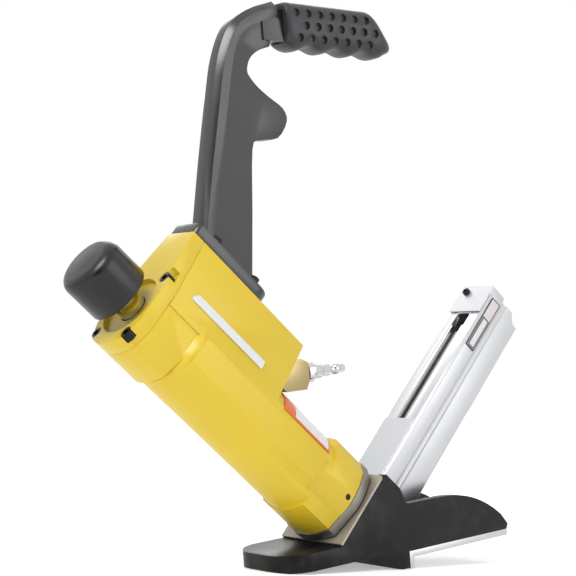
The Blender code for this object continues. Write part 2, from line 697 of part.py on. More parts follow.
def make_inlet():
    """A forged elbow seated on the block's lower end, with a washer and a plug."""
    leg_m = AIR_AXIS_Z / SIN - BLOCK_H + 0.0085
    end = AIR_AXIS_Z - BLOCK_H / SIN + BRASS_REACH
    half = BRASS_TALL / 2
    seat = BLOCK_H - GAP
    near = BARREL_RADIUS + 0.0025
    top, low = AIR_AXIS_Z + half, AIR_AXIS_Z - half
    corner_x, corner_z = tool_xz(seat, near)
    outline = [
        (seat_x(seat, top), top), (corner_x, corner_z), (near / SIN - low, low), (end - 0.0030, low),
        (end, low + 0.0060), (end, top - 0.0036), (end - 0.0072, top),
    ]
    wide = BRASS_WIDE / 2
    elbow = piece("brass_elbow", prism(outline, "y", -wide, wide), TOOL, BRASS, smooth=25)
    join(elbow, rod(0.0065, BLOCK_H - 0.0060, BLOCK_H + BLOCK_WALL - GAP, 24), "thread", (leg_m, 0, 0), DRIVE)
    cut(body, rod(0.0065 + GAP, BLOCK_H - 0.01, BLOCK_H + BLOCK_WALL + 0.002, 24), "inlet", (leg_m, 0, 0))
    washer = [(0.0050, 0), (0.0096, 0), (0.0096, WASHER), (0.0050, WASHER)]
    washer_x = end + GAP
    piece("sealing_washer", along_x(washer, 28), TOOL, RED_FIBRE, (washer_x, 0, AIR_AXIS_Z))
    place = (washer_x + WASHER + GAP, 0, AIR_AXIS_Z)
    plug = piece("air_plug", prism(hexagon(PLUG_HEX_FLATS), "x", 0, 0.0085), TOOL, CHROME, place, smooth=25)
    outline = [
        (0, 0.0030), (0.0058, 0.0030), (0.0058, 0.0155), (0.0048, 0.0168), (0.0048, 0.0245), (0.0034, 0.0258),
        (0.0034, 0.0290), (0.0046, 0.0300), (0.0046, 0.0336), (0.0034, 0.0348), (0.0034, 0.0398), (0.0029, 0.0405),
        (0, 0.0405),
    ]
    join(plug, along_x(outline), "stem", place)
    cut(plug, along_x([(0, -0.01), (0.0018, -0.01), (0.0018, 0.05), (0, 0.05)], 16), "bore", place)


make_inlet()


# ---------------------------------------------------------------- name plate and label, both blank
def make_name_plate():
    low, high = BLOCK_H + 0.0260, BODY_TOP_H - 0.0130
    middle, half, thick = 0.0305, 0.0036, 0.0009
    tilt = math.atan(BLOCK_FLARE)
    outline = [(-half, low), (half, low), (half, high - 0.0040), (-0.0010, high), (-half, high)]
    mesh = prism(outline, "y", 0, thick)
    bmesh.ops.rotate(mesh, verts=mesh.verts, cent=(0, 0, 0), matrix=Matrix.Rotation(tilt, 3, "Z"))
    piece("name_plate", mesh, DRIVE, WHITE_PLATE, (middle, -block_half(middle) - GAP / math.cos(tilt) - thick, 0))


def make_label():
    """A thin film wrapped on the barrel above the flange."""
    low, high = BODY_H + FLANGE_LENGTH + 0.0080, BLOCK_H - 0.0080
    first, last, steps = math.radians(-62), math.radians(30), 14
    section = []
    for radius, order in ((BARREL_RADIUS + 0.0008, range(steps + 1)), (BARREL_RADIUS + GAP, range(steps, -1, -1))):
        for step in order:
            angle = first + (last - first) * step / steps
            section.append((radius * math.cos(angle), radius * math.sin(angle)))
    piece("label", prism(section, "z", low, high), DRIVE, LABEL)


make_name_plate()
make_label()

# ---------------------------------------------------------------- magazine
CAVITY_HALF = STAPLE_CROWN / 2 + 0.0008
CAVITY_LOW_H = MAG_BACK_H + 0.0024
CAVITY_HIGH_H = MAG_FRONT_H - MAG_WALL
CAVITY_END_M = MAG_END_M - 0.0260
TRACK_END_M = MAG_END_M - 0.0465
TRACK_HALF = STAPLE_CROWN / 2 - STAPLE_WIRE - SLIP
TRACK_TOP_H = CAVITY_HIGH_H - 0.0030


def make_magazine():
    w, neck, rail, front, back = MAG_HALF_WIDTH, MAG_NECK, MAG_RAIL, MAG_FRONT_H, MAG_BACK_H
    half = [
        (rail - 0.0010, back), (rail, back + 0.0010), (rail, back + 0.0205), (rail - 0.0012, back + 0.0220),
        (rail - 0.0012, back + 0.0260), (neck, back + 0.0325), (neck, front),
    ]
    made = piece("magazine_channel", prism(mirrored(half), "x", MAG_START_M, MAG_END_M), DRIVE, ALUMINIUM, smooth=20)
    box_low = back + 0.0290
    wide = [(neck - 0.0060, box_low), (w - 0.0012, back + 0.0332), (w, back + 0.0345), (w, front - 0.0020),
            (w - 0.0020, front)]
    join(made, prism(mirrored(wide), "x", LEDGE_TOP_M + 2 * GAP, MAG_END_M - BOX_END), "front_box")
    c = CAVITY_HALF
    cut(made, box((MAG_START_M - 0.01, CAVITY_END_M), (-c, c), (CAVITY_LOW_H, CAVITY_HIGH_H)), "cavity")
    low, high = CAVITY_HIGH_H - 0.001, front + 0.02
    cut(made, box((SLOT_START_M, SLOT_END_M), (-SLOT_HALF, SLOT_HALF), (low, high)), "slot")
    end, k = KEYHOLE_END_M, KEYHOLE_HALF
    cut(made, prism(rounded([(SLOT_END_M - 0.001, -k, 0.001), (end, -k, 0.003), (end, k, 0.003),
                             (SLOT_END_M - 0.001, k, 0.001)], 3), "z", low, high), "keyhole")
    corner = [(MAG_END_M - 0.0075, back - 0.01), (MAG_END_M + 0.01, back - 0.01), (MAG_END_M + 0.01, back + 0.0190),
              (MAG_END_M - 0.0020, back + 0.0120), (MAG_END_M - 0.0075, back + 0.0060)]
    cut(made, prism(corner, "y", -0.03, 0.03), "corner")
    return made


def front_plate(name, start, end):
    """A thin plate on the magazine's front."""
    y, h = MAG_HALF_WIDTH - 0.0018, MAG_FRONT_H + GAP
    return piece(name, box((start, end), (-y, y), (h, h + COVER_THICKNESS)), DRIVE, ALUMINIUM)


magazine = make_magazine()
front_plate("magazine_cover", COVER_START_M, COVER_END_M)
cap = front_plate("magazine_cap", CAP_START_M, MAG_END_M - 0.0006)
badge_end = MAG_END_M - BOX_END - 0.0025
badge_y = MAG_HALF_WIDTH + GAP
badge = box((badge_end - 0.0505, badge_end), (-badge_y - 0.0003, -badge_y), (MAG_BACK_H + 0.0352, MAG_FRONT_H - 0.0026))
piece("magazine_label", badge, DRIVE, LABEL)
CAP_SCREW = (MAG_END_M - 0.0075, 0.0105, MAG_FRONT_H + GAP + COVER_THICKNESS + GAP)
cap_screw("cap_screw", BLACK_OXIDE, CAP_SCREW, radius=0.0032, head=0.0022, shank=0.0120, shank_radius=0.0018)
for target in (magazine, cap):
    cut(target, rod(0.0018 + GAP, -0.0123, 0.01, 16), "screw", CAP_SCREW)

low, high = CAVITY_LOW_H + GAP, TRACK_TOP_H
wall = 0.0012
track = [
    (TRACK_HALF, low), (TRACK_HALF, high), (-TRACK_HALF, high), (-TRACK_HALF, low), (wall - TRACK_HALF, low),
    (wall - TRACK_HALF, high - wall), (TRACK_HALF - wall, high - wall), (TRACK_HALF - wall, low),
]
piece("staple_track", prism(track, "x", MAG_START_M + 0.001, TRACK_END_M), DRIVE, STEEL)
spring = aim(coil(0.0022, 0.0005, 0, 0.1260, 16, per_turn=8, sides=4), (1, 0, 0))
SPRING_H = high - wall - GAP - 0.0027
piece("pusher_spring", spring, DRIVE, STEEL, (TRACK_END_M - 0.1260 - GAP, 0, SPRING_H))


def bridge(start, end, name, parent, mat):
    """An inverted U astride the track: the strip of staples, and the pusher behind it."""
    crown = STAPLE_CROWN / 2
    leg = crown - STAPLE_WIRE
    low, high = CAVITY_LOW_H + GAP, TRACK_TOP_H + GAP
    section = [(-crown, low), (-leg, low), (-leg, high), (leg, high), (leg, low), (crown, low),
               (crown, high + STAPLE_WIRE), (-crown, high + STAPLE_WIRE)]
    return piece(name, prism(section, "x", start, end), parent, mat)


PUSHER = empty("pusher_slide", DRIVE)
strip_start = CHANNEL_DEEP + GAP      # the staple already in the channel is left out
strip_end = strip_start + STRIP_LENGTH
bridge(strip_start, strip_end, "staple_strip", DRIVE, STEEL)
pusher_start = strip_end + GAP
pusher = bridge(pusher_start, pusher_start + 0.0200, "pusher", PUSHER, DULL_STEEL)

# ---------------------------------------------------------------- handle
ARM_BACK = [(-0.1590, 0.2500), (-0.1535, 0.2741), (-0.1436, 0.3232), (-0.1333, 0.3689), (-0.1250, 0.4010),
            (-0.1128, 0.4245), (-0.0949, 0.4374), (-0.0694, 0.4448)]
ARM_FRONT = [(-0.0759, 0.4090), (-0.0869, 0.4059), (-0.0952, 0.4003), (-0.0990, 0.3923), (-0.0980, 0.3864),
             (-0.0905, 0.3777), (-0.0798, 0.3694), (-0.0674, 0.3607), (-0.0643, 0.3505), (-0.0747, 0.3374),
             (-0.0926, 0.3361), (-0.1000, 0.3292), (-0.1047, 0.2810), (-0.1094, 0.2342)]


def arm_rim():
    """The rim along the arm's back: a bar with two chamfered edges."""
    path = through(ARM_BACK, 4)
    rings = []
    for index, point in enumerate(path):
        ahead = (path[min(index + 1, len(path) - 1)] - path[max(index - 1, 0)]).normalized()
        inward = Vector((ahead.y, -ahead.x))
        ring = []
        for depth, y in ((0, RIM_CHAMFER - RIM_HALF), (0, RIM_HALF - RIM_CHAMFER), (RIM_CHAMFER, RIM_HALF),
                         (RIM_DEPTH, RIM_HALF), (RIM_DEPTH, -RIM_HALF), (RIM_CHAMFER, -RIM_HALF)):
            place = point + inward * depth
            ring.append((place.x, y, place.y))
        rings.append(ring)
    return loft(rings)


def arm_web():
    path = through(ARM_BACK, 4)
    outline = []
    for index, point in enumerate(path):
        ahead = (path[min(index + 1, len(path) - 1)] - path[max(index - 1, 0)]).normalized()
        outline.append(tuple(point + Vector((ahead.y, -ahead.x)) * RIM_DEPTH * 0.6))
    front = [tuple(point) for point in through(ARM_FRONT, 3)]
    foot = tool_xz(BODY_TOP_H - 0.0660, BLOCK_TOP_M + 0.0040)
    return prism(outline + front + [foot], "y", -WEB_HALF, WEB_HALF)


def make_handle():
    low_m = BLOCK_TOP_M + GAP
    front_h = HEAD_TOP_H
    back_h = front_h - HANDLE_PLATE_LENGTH
    half = BLOCK_TOP_HALF
    plan = rounded([(-half, back_h, 0.0140), (half, back_h, 0.0140), (half, front_h, 0.0040),
                    (-half, front_h, 0.0040)], 6)
    made = piece("handle_arm", prism(plan, "x", low_m, low_m + HANDLE_PLATE), DRIVE, BLACK_CAST, smooth=30)
    join(made, arm_web(), "web", parent=TOOL)
    join(made, arm_rim(), "rim", parent=TOOL)
    below = box((0, low_m), (-0.03, 0.03), (0.15, 0.40))
    cut(made, below, "below")
    core = [(-0.0820, 0.4140), (0.0180, 0.4090), (0.0180, 0.4330), (-0.0820, 0.4395)]
    join(made, prism(core, "y", -0.0085, 0.0085), "core", parent=TOOL)
    number = 0
    for h in (HEAD_TOP_H - 0.0220, HEAD_TOP_H - 0.0670):
        for y in (-0.0128, 0.0128):
            number += 1
            place = (low_m + HANDLE_PLATE + GAP, y, h)
            cap_screw("handle_screw_%d" % number, BLACK_OXIDE, place, (1, 0, 0), radius=0.0036, head=0.0034,
                      shank=0.0130, shank_radius=0.0020)
            clear = aim(rod(0.0041, 0, 0.02, 20), (1, 0, 0))
            cut(made, clear, "clear_%d" % number, place)
            for target in (made, body):
                cut(target, aim(rod(0.0020 + GAP, -0.0133, 0.01, 16), (1, 0, 0)), "screw_%d" % number, place)
    return made


make_handle()


# ---------------------------------------------------------------- rubber grip
def grip_ring(share, points=28):
    """A ring round the grip at this share of its length: oval, with finger scallops below."""
    ring = []
    along = GRIP_START_X + GRIP_LENGTH * share
    reach = GRIP_FLARE * share ** 4
    for index in range(points):
        angle = 2 * math.pi * index / points
        across = math.copysign(abs(math.cos(angle)) ** 0.62, math.cos(angle))
        up = math.copysign(abs(math.sin(angle)) ** 0.62, math.sin(angle))
        x = along + reach * (1 - up) / 2
        slope = GRIP_SLOPE * (x - GRIP_START_X)
        wave = (1 - math.cos(2 * math.pi * (x - GRIP_START_X - 0.0110) / SCALLOP_PITCH)) / 2
        top = GRIP_TOP_Z + slope
        bottom = GRIP_BOTTOM_Z + slope + SCALLOP_DEPTH * wave
        narrow = 1 - 0.12 * max(0, (share - 0.93) / 0.07) ** 2 - 0.10 * max(0, (0.05 - share) / 0.05) ** 2
        middle = (top + bottom) / 2
        z = middle + (top - bottom) / 2 * up * narrow
        ring.append((x, GRIP_HALF_WIDTH * across * narrow, z))
    return ring


def make_grip():
    steps = 34
    rings = [grip_ring(step / steps) for step in range(steps + 1)]
    made = piece("rubber_grip", loft(rings), TOOL, BLACK_RUBBER, smooth=40)
    g = GAP
    room = [(-0.0900, 0.4144 - g), (0.0180 + g, 0.4090 - g), (0.0180 + g, 0.4330 + g), (-0.0900, 0.4400 + g)]
    cut(made, prism(room, "y", -0.0085 - g, 0.0085 + g), "core")
    for side in (-1, 1):
        for row, (lift, first) in enumerate(((0.0098, -0.0530), (0, -0.0440), (-0.0098, -0.0505))):
            for column in range(7):
                x = first + column * DIMPLE_PITCH
                z = (GRIP_TOP_Z + GRIP_BOTTOM_Z) / 2 + GRIP_SLOPE * (x - GRIP_START_X) + lift
                up = abs(lift) / (GRIP_TOP_Z - GRIP_BOTTOM_Z) * 2
                surface = GRIP_HALF_WIDTH * (1 - up ** (2 / 0.62)) ** 0.31
                dimple = aim(rod(DIMPLE_RADIUS, -DIMPLE_DEPTH, 0.01, 10), (0, side, 0))
                tag = "dimple_%s%d_%d" % ("a" if side < 0 else "b", row, column)
                cut(made, dimple, tag, (x, side * surface, z))
    return made


make_grip()

# ---------------------------------------------------------------- standing on nose and toe
PITCH = math.atan2(TOE_Z - (SOLE_Z - NOSE_DROP), NOSE_REAR_X - NOSE_LENGTH - TOE_BEARS_X)
TOOL.rotation_euler = (0, -PITCH, 0)
bpy.context.view_layer.update()
graph = bpy.context.evaluated_depsgraph_get()
spots = []
for obj in bpy.data.objects:
    if obj.type == "MESH" and not obj.hide_render:
        shape = obj.evaluated_get(graph)
        spots += [shape.matrix_world @ vertex.co for vertex in shape.data.vertices]
STAND.location = (-(min(p.x for p in spots) + max(p.x for p in spots)) / 2,
                  -(min(p.y for p in spots) + max(p.y for p in spots)) / 2,
                  -min(p.z for p in spots))
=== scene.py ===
# %% [markdown]
# # A flooring nailer, finished
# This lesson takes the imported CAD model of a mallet-struck flooring nailer and gives it the looks of the real
# tool. The CAD parts are already the right size and in the right place, and the joints move them. What CAD
# leaves out is added here: softened casting edges, paint, rubber, brushed and polished metal.
#
# The tool leans, so two directions are needed again and again: `up_barrel`, from the nose to the strike cap,
# and `up_magazine`, at right angles to it. The third direction is plain Y.

# %% Load the frame
import json
import math

import bmesh
import bpy
from mathutils import Matrix, Vector

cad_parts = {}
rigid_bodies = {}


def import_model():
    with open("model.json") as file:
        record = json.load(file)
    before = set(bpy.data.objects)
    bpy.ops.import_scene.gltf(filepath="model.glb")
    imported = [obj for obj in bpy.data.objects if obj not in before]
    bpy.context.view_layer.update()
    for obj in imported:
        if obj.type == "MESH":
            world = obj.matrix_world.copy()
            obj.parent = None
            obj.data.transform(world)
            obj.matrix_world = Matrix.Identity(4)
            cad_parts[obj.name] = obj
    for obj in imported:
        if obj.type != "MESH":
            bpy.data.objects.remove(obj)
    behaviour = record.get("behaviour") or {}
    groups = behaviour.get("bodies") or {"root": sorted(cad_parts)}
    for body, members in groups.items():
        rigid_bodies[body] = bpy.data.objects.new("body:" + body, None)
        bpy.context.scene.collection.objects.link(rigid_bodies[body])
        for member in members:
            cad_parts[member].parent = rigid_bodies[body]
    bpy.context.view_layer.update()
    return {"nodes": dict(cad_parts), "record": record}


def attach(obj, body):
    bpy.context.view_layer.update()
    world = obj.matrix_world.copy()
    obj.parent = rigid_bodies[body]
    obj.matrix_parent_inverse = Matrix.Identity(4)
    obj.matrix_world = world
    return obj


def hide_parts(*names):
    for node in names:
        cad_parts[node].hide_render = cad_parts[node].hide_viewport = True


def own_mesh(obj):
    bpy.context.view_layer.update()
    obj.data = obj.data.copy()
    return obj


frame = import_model()
nodes = frame["nodes"]

# %% Directions of the leaning tool
nose_rise, nose_reach = 0.0147, 0.1065
lean = math.atan2(nose_rise, nose_reach)
tool_at = Vector((0.07687, 0, 0.01217))
tool_turn = Matrix.Translation(tool_at) @ Matrix.Rotation(-lean, 4, "Y")
drive_turn = tool_turn @ Matrix.Rotation(-math.radians(45), 4, "Y")
up_magazine = drive_turn.to_3x3() @ Vector((1, 0, 0))
up_barrel = drive_turn.to_3x3() @ Vector((0, 0, 1))
sideways = Vector((0, 1, 0))
print("leans", round(math.degrees(lean), 2), "degrees; up the barrel is", [round(c, 3) for c in up_barrel])


# %% [markdown]
# ## The room and the camera
# The tool is seen from the front left, a little below its middle, with a long lens. A long lens flattens
# perspective, so the lens length matters as much as the direction.

# %% Camera
camera_data = bpy.data.cameras.new("camera")
camera_data.lens = 100.39
camera_data.sensor_width = 36
camera_data.clip_end = 20
camera = bpy.data.objects.new("camera", camera_data)
camera.location = (-0.7911, -1.0045, 0.1407)
camera.rotation_euler = [math.radians(angle) for angle in (93.597, -1.795, -37.504)]
bpy.context.scene.collection.objects.link(camera)
bpy.context.scene.camera = camera
print("camera lens", camera_data.lens, "mm")


# %% [markdown]
# An operator works on all that is selected. A script that forgets this changes two pieces at once, so each
# piece below starts with nothing selected, and `pick` makes one piece the active one.

# %% Deselect before every operator
def deselect_all():
    """Leaves edit mode and selects nothing."""
    if bpy.context.mode != "OBJECT":
        bpy.ops.object.mode_set(mode="OBJECT")
    for obj in bpy.context.view_layer.objects:
        obj.select_set(False)


def pick(obj):
    """Selects this piece alone and makes it the active one."""
    deselect_all()
    obj.select_set(True)
    bpy.context.view_layer.objects.active = obj
    return obj


def add(tree, kind, **settings):
    """A new shader node of this kind with these settings."""
    node = tree.nodes.new(kind)
    for key, value in settings.items():
        setattr(node, key, value)
    return node


# %% [markdown]
# ## The floor
# The floor is a plain white plane. Near the tool it shows the lamps' light and the tool's soft shadow.
# Further off it glows a little more, from the distance to its middle, until it meets the white sky with no
# line between them. Only the camera sees that glow: `Light Path` gives all other rays a weaker one, so the
# tool isn't lit from below.

# %% Floor
deselect_all()
bpy.ops.mesh.primitive_plane_add(size=16, location=(0, 0, 0))
floor = bpy.context.object
floor.name = "floor"
floor_paint = bpy.data.materials.new("white floor")
floor_paint.use_nodes = True
floor_shader = floor_paint.node_tree.nodes["Principled BSDF"]
floor_shader.inputs["Base Color"].default_value = (0.93, 0.93, 0.93, 1)
floor_shader.inputs["Roughness"].default_value = 0.9
floor_shader.inputs["Emission Color"].default_value = (1, 1, 1, 1)
floor_tree = floor_paint.node_tree
floor_place = add(floor_tree, "ShaderNodeTexCoord")
from_middle = add(floor_tree, "ShaderNodeVectorMath", operation="LENGTH")
brighter = add(floor_tree, "ShaderNodeMapRange")
for socket, value in (("From Min", 0.35), ("From Max", 1.6), ("To Min", 0.40), ("To Max", 1.0)):
    brighter.inputs[socket].default_value = value
floor_ray = add(floor_tree, "ShaderNodeLightPath")
glow = add(floor_tree, "ShaderNodeMix")
glow.inputs["A"].default_value = 0.22
floor_tree.links.new(floor_place.outputs["Object"], from_middle.inputs[0])
floor_tree.links.new(from_middle.outputs["Value"], brighter.inputs["Value"])
floor_tree.links.new(floor_ray.outputs["Is Camera Ray"], glow.inputs["Factor"])
floor_tree.links.new(brighter.outputs["Result"], glow.inputs["B"])
floor_tree.links.new(glow.outputs["Result"], floor_shader.inputs["Emission Strength"])
floor.data.materials.append(floor_paint)
print("floor is", floor.dimensions.x, "m wide")

# %% [markdown]
# ## The dark card
# Black paint shows mostly what it reflects. A dark card stands behind the camera, as in a studio, so the
# chamfers that face the camera stay darker than the faces beside them, which pick up the pale sky. The
# camera itself doesn't see the card.

# %% Dark card
deselect_all()
bpy.ops.mesh.primitive_plane_add(size=1.5, location=(-1.35, -1.75, 0.35))
card = bpy.context.object
card.name = "dark card"
card.rotation_euler = (Vector((0, 0, 0.2)) - card.location).to_track_quat("Z", "Y").to_euler()
card_paint = bpy.data.materials.new("black card")
card_paint.use_nodes = True
card_shader = card_paint.node_tree.nodes["Principled BSDF"]
card_shader.inputs["Base Color"].default_value = (0.01, 0.01, 0.01, 1)
card_shader.inputs["Roughness"].default_value = 0.9
card.data.materials.append(card_paint)
card.visible_camera = False
print("card is", round(card.location.length, 2), "m from the tool")

# %% [markdown]
# ## Lamps and sky
# One large soft lamp stands on the left, a weaker one fills from the right, and a third lights the back.
# Each is a disk about a metre wide, so the shadows have soft edges. A lamp points along its own -Z, which
# is turned towards the tool.

# %% Lamps
def soft_lamp(name, place, aim_at, size, watts):
    lamp_data = bpy.data.lights.new(name, "AREA")
    lamp_data.shape = "DISK"
    lamp_data.size = size
    lamp_data.energy = watts
    lamp = bpy.data.objects.new(name, lamp_data)
    lamp.location = place
    lamp.rotation_euler = (Vector(aim_at) - Vector(place)).to_track_quat("-Z", "Y").to_euler()
    bpy.context.scene.collection.objects.link(lamp)
    print(name, "gives", watts, "W")


soft_lamp("key lamp", (-1.25, -0.65, 1.55), (0, 0, 0.2), 1.1, 20)
soft_lamp("fill lamp", (0.9, -1.7, 0.6), (0.05, 0, 0.2), 1.3, 6)
soft_lamp("back lamp", (0.7, 1.4, 1.3), (0, 0, 0.25), 1.2, 10)

# %% [markdown]
# The sky plays two parts. The camera and mirror-like reflections see it pure white, which keeps the
# background clean and the metal bright. Diffuse light gets less of it, so the lamps still shape the tool.

# %% Sky
sky = bpy.data.worlds.new("white sky")
sky.use_nodes = True
sky_tree = sky.node_tree
for_light = sky_tree.nodes["Background"]
for_light.inputs["Color"].default_value = (0.97, 0.98, 1.0, 1)
for_light.inputs["Strength"].default_value = 0.42
for_view = add(sky_tree, "ShaderNodeBackground")
for_view.inputs["Color"].default_value = (1, 1, 1, 1)
for_view.inputs["Strength"].default_value = 1.0
ray = add(sky_tree, "ShaderNodeLightPath")
either = add(sky_tree, "ShaderNodeMath", operation="MAXIMUM")
pick_sky = add(sky_tree, "ShaderNodeMixShader")
sky_tree.links.new(ray.outputs["Is Camera Ray"], either.inputs[0])
sky_tree.links.new(ray.outputs["Is Glossy Ray"], either.inputs[1])
sky_tree.links.new(either.outputs["Value"], pick_sky.inputs["Fac"])
sky_tree.links.new(for_light.outputs["Background"], pick_sky.inputs[1])
sky_tree.links.new(for_view.outputs["Background"], pick_sky.inputs[2])
sky_tree.links.new(pick_sky.outputs["Shader"], sky_tree.nodes["World Output"].inputs["Surface"])
bpy.context.scene.world = sky
bpy.context.scene.view_settings.view_transform = "Standard"
print("sky strength", for_view.inputs["Strength"].default_value, "seen,", end=" ")
print(round(for_light.inputs["Strength"].default_value, 2), "as light")

# %% [markdown]
# ## Effects that several finishes share
# Grain, smudges and worn edges come back in many materials, so each is built once as a node group with named
# inputs. `Casting grain` is a fine noise for the height of a Bump node. `Smudges` is a large soft noise that
# changes colour and roughness, because no handled tool is equally glossy all over. `Edge wear` finds edges by
# their Pointiness, which Cycles measures on the mesh, and breaks them up into patches.

# %% A node group with sockets
def new_group(name, inputs, outputs):
    """An empty node group with these sockets, and its input and output nodes."""
    group = bpy.data.node_groups.new(name, "ShaderNodeTree")
    for label, kind, value in inputs:
        entry = group.interface.new_socket(label, in_out="INPUT", socket_type=kind)
        entry.default_value = value
    for label, kind in outputs:
        group.interface.new_socket(label, in_out="OUTPUT", socket_type=kind)
    first = group.nodes.new("NodeGroupInput")
    last = group.nodes.new("NodeGroupOutput")
    return group, first, last


# %% Grain: a fine height
grain_group, grain_in, grain_out = new_group(
    "Casting grain", [("Scale", "NodeSocketFloat", 900.0), ("Roughness", "NodeSocketFloat", 0.6)],
    [("Height", "NodeSocketFloat")])
where = add(grain_group, "ShaderNodeTexCoord")
fine = add(grain_group, "ShaderNodeTexNoise")
fine.inputs["Detail"].default_value = 4
grain_group.links.new(where.outputs["Object"], fine.inputs["Vector"])
grain_group.links.new(grain_in.outputs["Scale"], fine.inputs["Scale"])
grain_group.links.new(grain_in.outputs["Roughness"], fine.inputs["Roughness"])
grain_group.links.new(fine.outputs["Fac"], grain_out.inputs["Height"])

# %% Smudges: a soft value between two limits
smudge_group, smudge_in, smudge_out = new_group(
    "Smudges", [("Scale", "NodeSocketFloat", 22.0), ("Low", "NodeSocketFloat", 0.3),
                ("High", "NodeSocketFloat", 0.45)], [("Value", "NodeSocketFloat")])
where = add(smudge_group, "ShaderNodeTexCoord")
cloud = add(smudge_group, "ShaderNodeTexNoise")
cloud.inputs["Detail"].default_value = 3
spread = add(smudge_group, "ShaderNodeMapRange")
spread.inputs["From Min"].default_value = 0.3
spread.inputs["From Max"].default_value = 0.7
smudge_group.links.new(where.outputs["Object"], cloud.inputs["Vector"])
smudge_group.links.new(smudge_in.outputs["Scale"], cloud.inputs["Scale"])
smudge_group.links.new(cloud.outputs["Fac"], spread.inputs["Value"])
smudge_group.links.new(smudge_in.outputs["Low"], spread.inputs["To Min"])
smudge_group.links.new(smudge_in.outputs["High"], spread.inputs["To Max"])
smudge_group.links.new(spread.outputs["Result"], smudge_out.inputs["Value"])

# %% Edge wear: a mask on worn edges
wear_group, wear_in, wear_out = new_group(
    "Edge wear", [("Amount", "NodeSocketFloat", 0.5), ("Patch scale", "NodeSocketFloat", 60.0)],
    [("Mask", "NodeSocketFloat")])
shape = add(wear_group, "ShaderNodeNewGeometry")
edge = add(wear_group, "ShaderNodeMapRange")
edge.inputs["From Min"].default_value = 0.52
edge.inputs["From Max"].default_value = 0.62
where = add(wear_group, "ShaderNodeTexCoord")
patch = add(wear_group, "ShaderNodeTexNoise")
patch.inputs["Detail"].default_value = 6
patchy = add(wear_group, "ShaderNodeMapRange")
patchy.inputs["From Min"].default_value = 0.45
patchy.inputs["From Max"].default_value = 0.62
both = add(wear_group, "ShaderNodeMath", operation="MULTIPLY")
amount = add(wear_group, "ShaderNodeMath", operation="MULTIPLY")
wear_group.links.new(shape.outputs["Pointiness"], edge.inputs["Value"])
wear_group.links.new(where.outputs["Object"], patch.inputs["Vector"])
wear_group.links.new(wear_in.outputs["Patch scale"], patch.inputs["Scale"])
wear_group.links.new(patch.outputs["Fac"], patchy.inputs["Value"])
wear_group.links.new(edge.outputs["Result"], both.inputs[0])
wear_group.links.new(patchy.outputs["Result"], both.inputs[1])
wear_group.links.new(both.outputs["Value"], amount.inputs[0])
wear_group.links.new(wear_in.outputs["Amount"], amount.inputs[1])
wear_group.links.new(amount.outputs["Value"], wear_out.inputs["Mask"])
print("shared effects:", [group.name for group in bpy.data.node_groups])


# %% A finish made from the shared effects
def use_group(tree, group, **values):
    """The group as one node of a material, with its inputs set."""
    node = tree.nodes.new("ShaderNodeGroup")
    node.node_tree = group
    for key, value in values.items():
        node.inputs[key.replace("_", " ").capitalize()].default_value = value
    return node


smudge_scale = 22


def finish_of(name, colour, metallic, roughness, grain=(900, 0.00004), wear=None,
              worn_colour=(0.5, 0.5, 0.5), vary=0.06, coat=0.0, shine=0.5):
    """A Principled finish: colour with soft variation, roughness with smudges, grain and worn edges."""
    made = bpy.data.materials.new(name)
    made.use_nodes = True
    tree = made.node_tree
    shader = tree.nodes["Principled BSDF"]
    shader.inputs["Metallic"].default_value = metallic
    shader.inputs["Coat Weight"].default_value = coat
    shader.inputs["Coat Roughness"].default_value = 0.12
    shader.inputs["Specular IOR Level"].default_value = shine
    tint = use_group(tree, smudge_group, scale=smudge_scale * 0.6, low=1 - vary, high=1 + vary)
    base = add(tree, "ShaderNodeVectorMath", operation="SCALE")
    base.inputs[0].default_value = colour
    tree.links.new(tint.outputs["Value"], base.inputs["Scale"])
    rough = use_group(tree, smudge_group, scale=smudge_scale, low=roughness * 0.82, high=roughness * 1.2)
    tree.links.new(rough.outputs["Value"], shader.inputs["Roughness"])
    if wear:
        mask = use_group(tree, wear_group, amount=wear)
        mixed = add(tree, "ShaderNodeMix", data_type="RGBA")
        mixed.inputs["B"].default_value = (*worn_colour, 1)
        tree.links.new(mask.outputs["Mask"], mixed.inputs["Factor"])
        tree.links.new(base.outputs["Vector"], mixed.inputs["A"])
        tree.links.new(mixed.outputs["Result"], shader.inputs["Base Color"])
    else:
        tree.links.new(base.outputs["Vector"], shader.inputs["Base Color"])
    grains = use_group(tree, grain_group, scale=grain[0])
    bump = add(tree, "ShaderNodeBump")
    bump.inputs["Distance"].default_value = grain[1]
    tree.links.new(grains.outputs["Height"], bump.inputs["Height"])
    tree.links.new(bump.outputs["Normal"], shader.inputs["Normal"])
    return made


# %% [markdown]
# ## Finishes of the metal, rubber and paint
# The casting is sprayed with a warm yellow enamel, semi-gloss, with the faint orange peel of thick paint. The
# handle is a glossy black powder coat that shows what stands around it. The shoe is a duller casting that has
# lost its black along the edges. The brass, chrome and steel pieces differ in tint and roughness.

